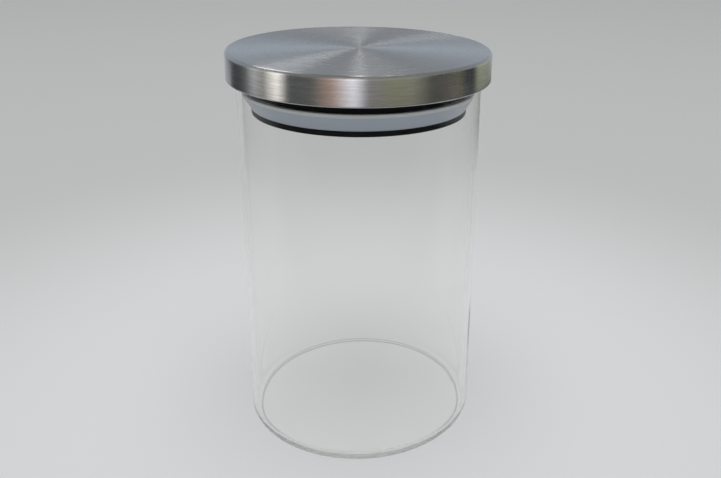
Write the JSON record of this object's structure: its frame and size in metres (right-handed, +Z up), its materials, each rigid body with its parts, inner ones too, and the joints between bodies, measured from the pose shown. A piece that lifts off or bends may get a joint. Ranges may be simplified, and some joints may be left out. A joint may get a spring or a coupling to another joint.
{
  "type": "lidded glass canister",
  "caption": "Straight clear glass canister with a flat foot and a flat brushed steel lid; a black plug with a flared silicone sealing lip drops into the mouth, and the lid lifts off.",
  "frame": {"origin": "centre of the flat foot, on the surface the canister stands on", "axes": "+Z up along the canister's axis, out through the mouth; X and Y are any two level directions, because the object is round"},
  "size_m": [0.1, 0.1, 0.1528],
  "materials": {
    "clear_glass": null,
    "turned_steel": "fine circular brushing on the top, fine lines around the skirt",
    "black_plastic": "satin moulded black plastic",
    "clear_silicone": "milky translucent silicone"
  },
  "bodies": {
    "jar": {"glass_jar": "clear_glass"},
    "lid": {"lid_cap": "turned_steel", "lid_plug": "black_plastic", "lid_seal": "clear_silicone", "plug_cover": "black_plastic"}
  },
  "joints": [
    {"name": "lid_lift", "type": "slide", "parent": "jar", "child": "lid", "axis": [0, 0, 1], "range_m": [0, 0.12]}
  ]
}
